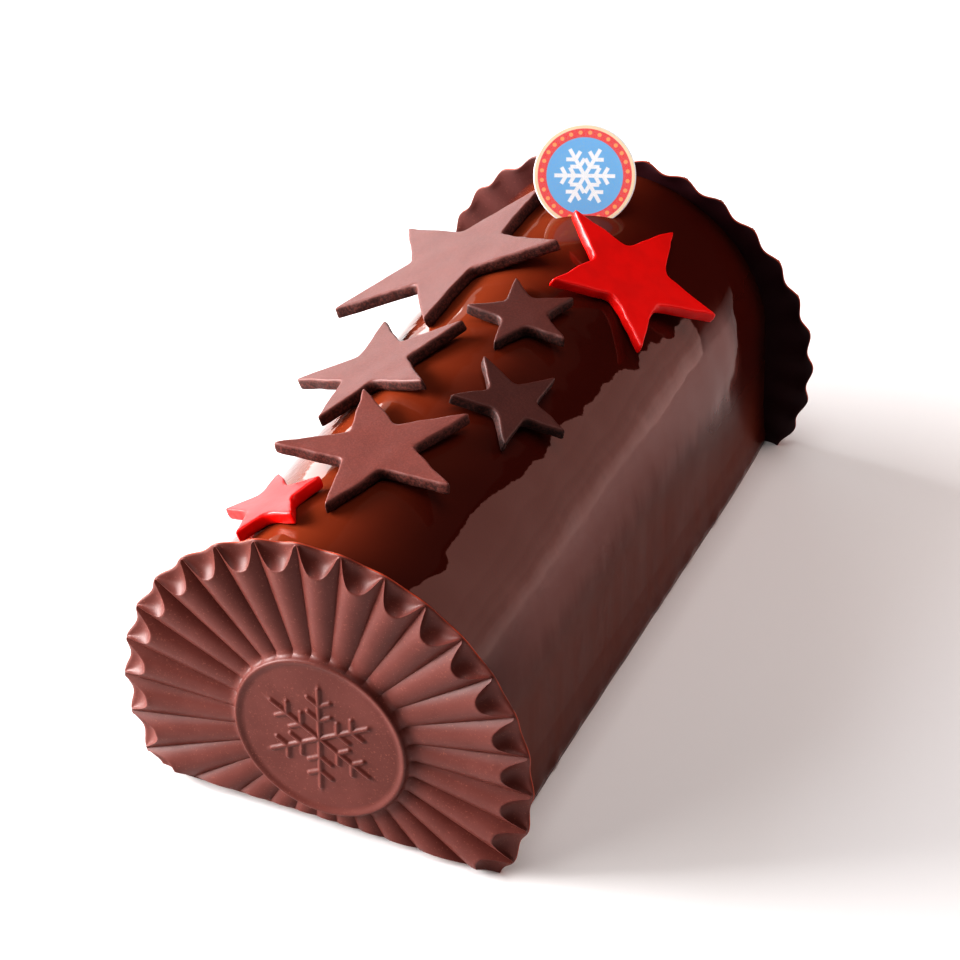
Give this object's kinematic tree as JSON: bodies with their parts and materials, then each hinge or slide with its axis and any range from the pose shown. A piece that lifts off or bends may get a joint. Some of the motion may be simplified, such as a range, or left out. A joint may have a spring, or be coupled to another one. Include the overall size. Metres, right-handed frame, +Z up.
{
  "type": "yule log cake",
  "caption": "Glazed yule log cake on a flat base, closed at each end by a ribbed round chocolate plaque, with flat stars and an upright disc on top.",
  "frame": {"origin": "middle of the log's flat base, which is the face the cake rests on", "axes": "+Z up, +Y along the log from the front plaque to the rear one, and +X to the side of the large red star"},
  "size_m": [0.106, 0.185, 0.0956],
  "materials": {
    "dark_glaze": "mirror-glossy dark chocolate glaze over the cake",
    "moulded_chocolate": "satin moulded chocolate",
    "cocoa_chocolate": "matte chocolate dusted with cocoa",
    "red_chocolate": "satin red-coloured chocolate",
    "printed_sugar": "printed sugar disc: blue field, red ring with gold dots, cream border"
  },
  "bodies": {
    "root": {"glazed_log": "dark_glaze", "plaque_front": "moulded_chocolate", "plaque_rear": "moulded_chocolate", "star_brown_large": "cocoa_chocolate", "star_brown_front": "cocoa_chocolate", "star_brown_middle": "cocoa_chocolate", "star_brown_low": "cocoa_chocolate", "star_brown_top": "cocoa_chocolate", "star_red_large": "red_chocolate", "star_red_small": "red_chocolate", "printed_disc": "printed_sugar"}
  },
  "joints": []
}
